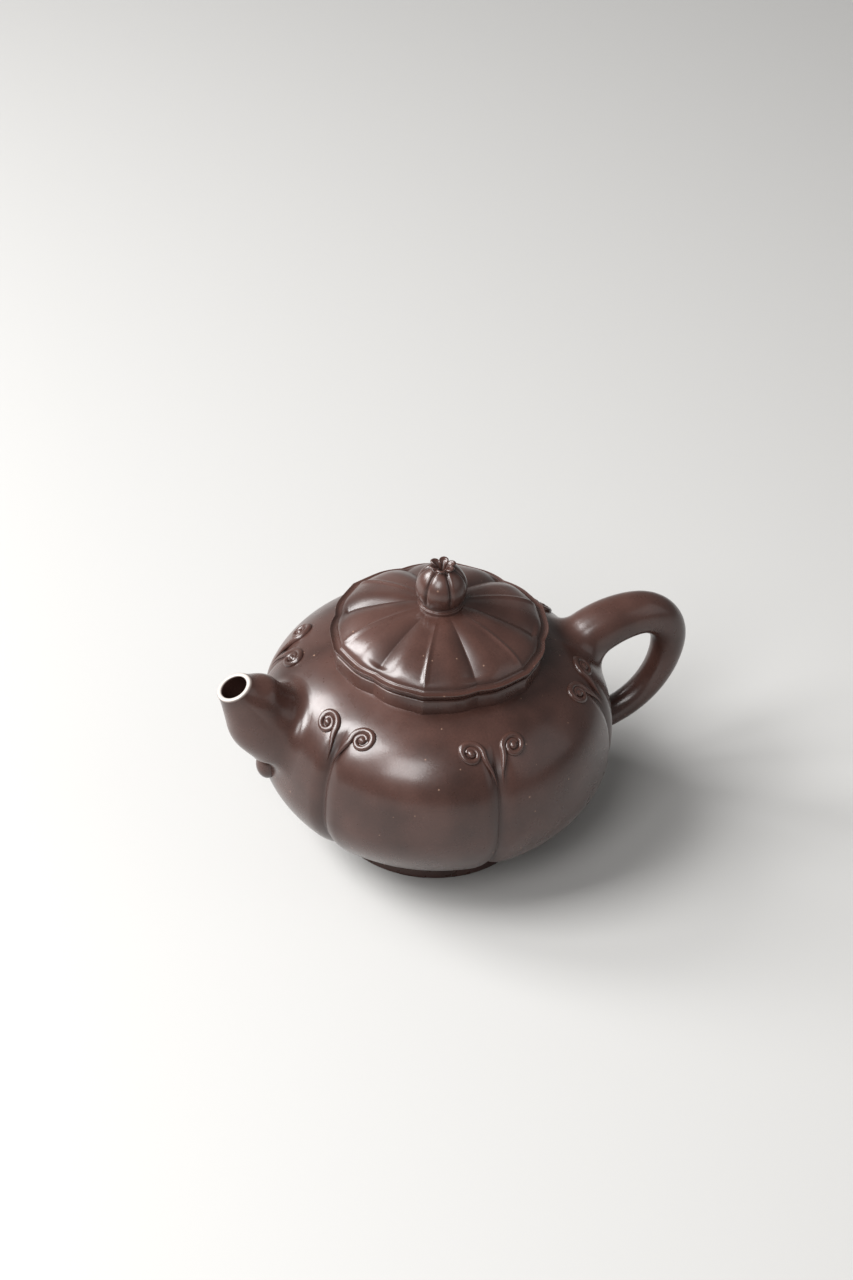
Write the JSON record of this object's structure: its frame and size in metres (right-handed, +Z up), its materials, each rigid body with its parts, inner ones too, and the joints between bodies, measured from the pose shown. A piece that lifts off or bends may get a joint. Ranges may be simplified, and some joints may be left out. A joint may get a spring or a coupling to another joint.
{
  "type": "teapot",
  "caption": "Squat lobed clay teapot with scroll-topped grooves, short tapered spout with inner strainer, ear loop handle, and a petalled lid with a ball knob that lifts off and turns",
  "frame": {"origin": "on the table, in the middle of the foot ring's flat underside", "axes": "+Z up along the pot's axis, the spout points to -X and the handle to +X"},
  "size_m": [0.152, 0.1078, 0.097],
  "materials": {
    "clay": "unglazed burnished dark purple-brown clay, satin"
  },
  "bodies": {
    "pot": {"body_wall": "clay", "top_disc": "clay", "base_disc": "clay", "foot_ring": "clay", "neck_collar": "clay", "spout": "clay", "ball_strainer": "clay", "spout_bead": "clay", "handle": "clay", "scroll_1_left": "clay", "scroll_2_left": "clay", "scroll_3_left": "clay", "scroll_4_left": "clay", "scroll_5_left": "clay", "scroll_6_left": "clay", "scroll_1_right": "clay", "scroll_2_right": "clay", "scroll_3_right": "clay", "scroll_4_right": "clay", "scroll_5_right": "clay", "scroll_6_right": "clay"},
    "flange": {"lid_flange": "clay"},
    "lid": {"lid_plate": "clay", "knob_ring": "clay", "knob": "clay"}
  },
  "joints": [
    {"name": "lid_lift", "type": "slide", "parent": "pot", "child": "flange", "axis": [0, 0, 1], "range_m": [0, 0.06]},
    {"name": "lid_turn", "type": "hinge", "parent": "flange", "child": "lid", "pos_m": [0, 0, 0.0702], "axis": [0, 0, 1], "continuous": true}
  ]
}
